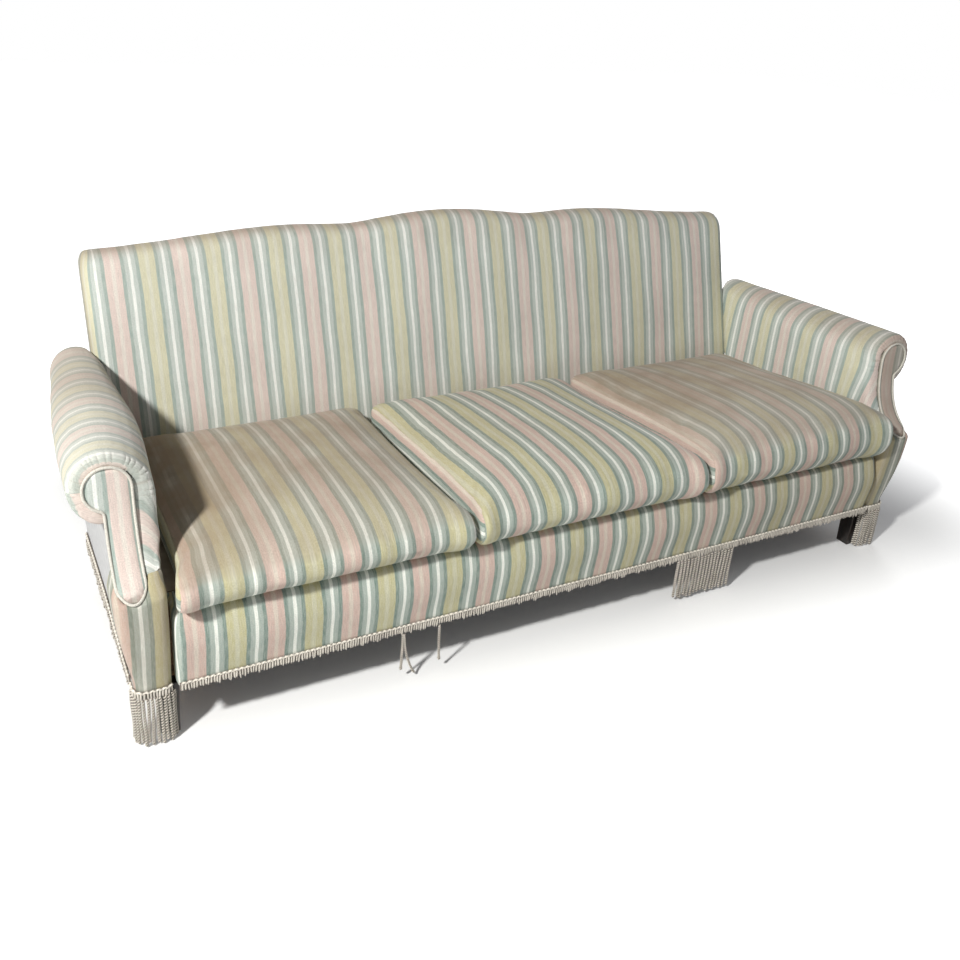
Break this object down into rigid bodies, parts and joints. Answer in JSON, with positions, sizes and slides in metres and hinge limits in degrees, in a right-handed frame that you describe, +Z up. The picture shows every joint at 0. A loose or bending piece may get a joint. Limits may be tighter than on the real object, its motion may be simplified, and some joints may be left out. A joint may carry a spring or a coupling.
{
  "type": "camelback sofa",
  "caption": "Long upholstered sofa with a humped reclined back, slender rolled arms with piped keyhole facings, loose seat cushions and worn bullion fringe.",
  "frame": {"origin": "on the floor under the middle of the sofa's bounding box", "axes": "+X runs along the seat toward the sitter's left arm, +Y from the seat front to the back, +Z up"},
  "size_m": [2.279, 0.9439, 0.864],
  "materials": {
    "striped_fabric": "woven cotton with sage, cream, pink and straw stripes",
    "seat_fabric": "the same striped cloth, faded and soiled on top",
    "welt_cord": "cream covered cord",
    "fringe_cotton": "matte twisted cotton",
    "frame_wood": "planed hardwood, unfinished",
    "leg_black": "black satin lacquer",
    "webbing_jute": "woven jute",
    "deck_cloth": "plain padded decking",
    "dust_cloth": "thin black cambric"
  },
  "bodies": {
    "sofa": {"front_rail_board": "frame_wood", "back_bottom_rail": "frame_wood", "side_rail_left": "frame_wood", "side_rail_right": "frame_wood", "front_corner_block_left": "frame_wood", "front_corner_block_right": "frame_wood", "rear_corner_block_left": "frame_wood", "rear_corner_block_right": "frame_wood", "seat_brace_left": "frame_wood", "seat_brace_right": "frame_wood", "seat_strap_1": "webbing_jute", "seat_strap_2": "webbing_jute", "seat_strap_3": "webbing_jute", "seat_strap_4": "webbing_jute", "seat_strap_5": "webbing_jute", "seat_strap_6": "webbing_jute", "seat_strap_7": "webbing_jute", "seat_deck": "deck_cloth", "dust_cover": "dust_cloth", "front_leg_left": "leg_black", "front_leg_right": "leg_black", "rear_leg_left": "leg_black", "rear_leg_right": "leg_black", "back_post_left": "frame_wood", "back_post_right": "frame_wood", "back_top_rail": "frame_wood", "back_tacking_rail": "frame_wood", "back_upright_left": "frame_wood", "back_upright_right": "frame_wood", "arm_stump_left": "frame_wood", "arm_stump_right": "frame_wood", "arm_board_left": "frame_wood", "arm_board_right": "frame_wood", "arm_roll_cleat_left": "frame_wood", "arm_roll_cleat_right": "frame_wood", "back_pad": "striped_fabric", "back_outside_panel": "striped_fabric", "front_rail_cover": "striped_fabric", "arm_facing_left": "striped_fabric", "arm_facing_right": "striped_fabric", "facing_piping_left": "welt_cord", "facing_piping_right": "welt_cord", "arm_pad_left": "striped_fabric", "arm_pad_right": "striped_fabric", "arm_outside_panel_left": "striped_fabric", "arm_outside_panel_right": "striped_fabric", "arm_post_cover_left": "striped_fabric", "arm_post_cover_right": "striped_fabric", "front_heading": "fringe_cotton", "side_heading_left": "fringe_cotton", "side_heading_right": "fringe_cotton", "front_fringe_tab": "fringe_cotton", "arm_fringe_left": "fringe_cotton", "arm_fringe_right": "fringe_cotton", "loose_cord_double": "fringe_cotton", "loose_cord_single": "fringe_cotton"},
    "cushion_left": {"seat_cushion_left": "seat_fabric"},
    "cushion_middle": {"seat_cushion_middle": "seat_fabric"},
    "cushion_right": {"seat_cushion_right": "seat_fabric"}
  },
  "joints": [
    {"name": "left_cushion_lift", "type": "slide", "parent": "sofa", "child": "cushion_left", "axis": [0, 0, 1], "range_m": [0, 0.34]},
    {"name": "middle_cushion_lift", "type": "slide", "parent": "sofa", "child": "cushion_middle", "axis": [0, 0, 1], "range_m": [0, 0.34]},
    {"name": "right_cushion_lift", "type": "slide", "parent": "sofa", "child": "cushion_right", "axis": [0, 0, 1], "range_m": [0, 0.34]}
  ]
}
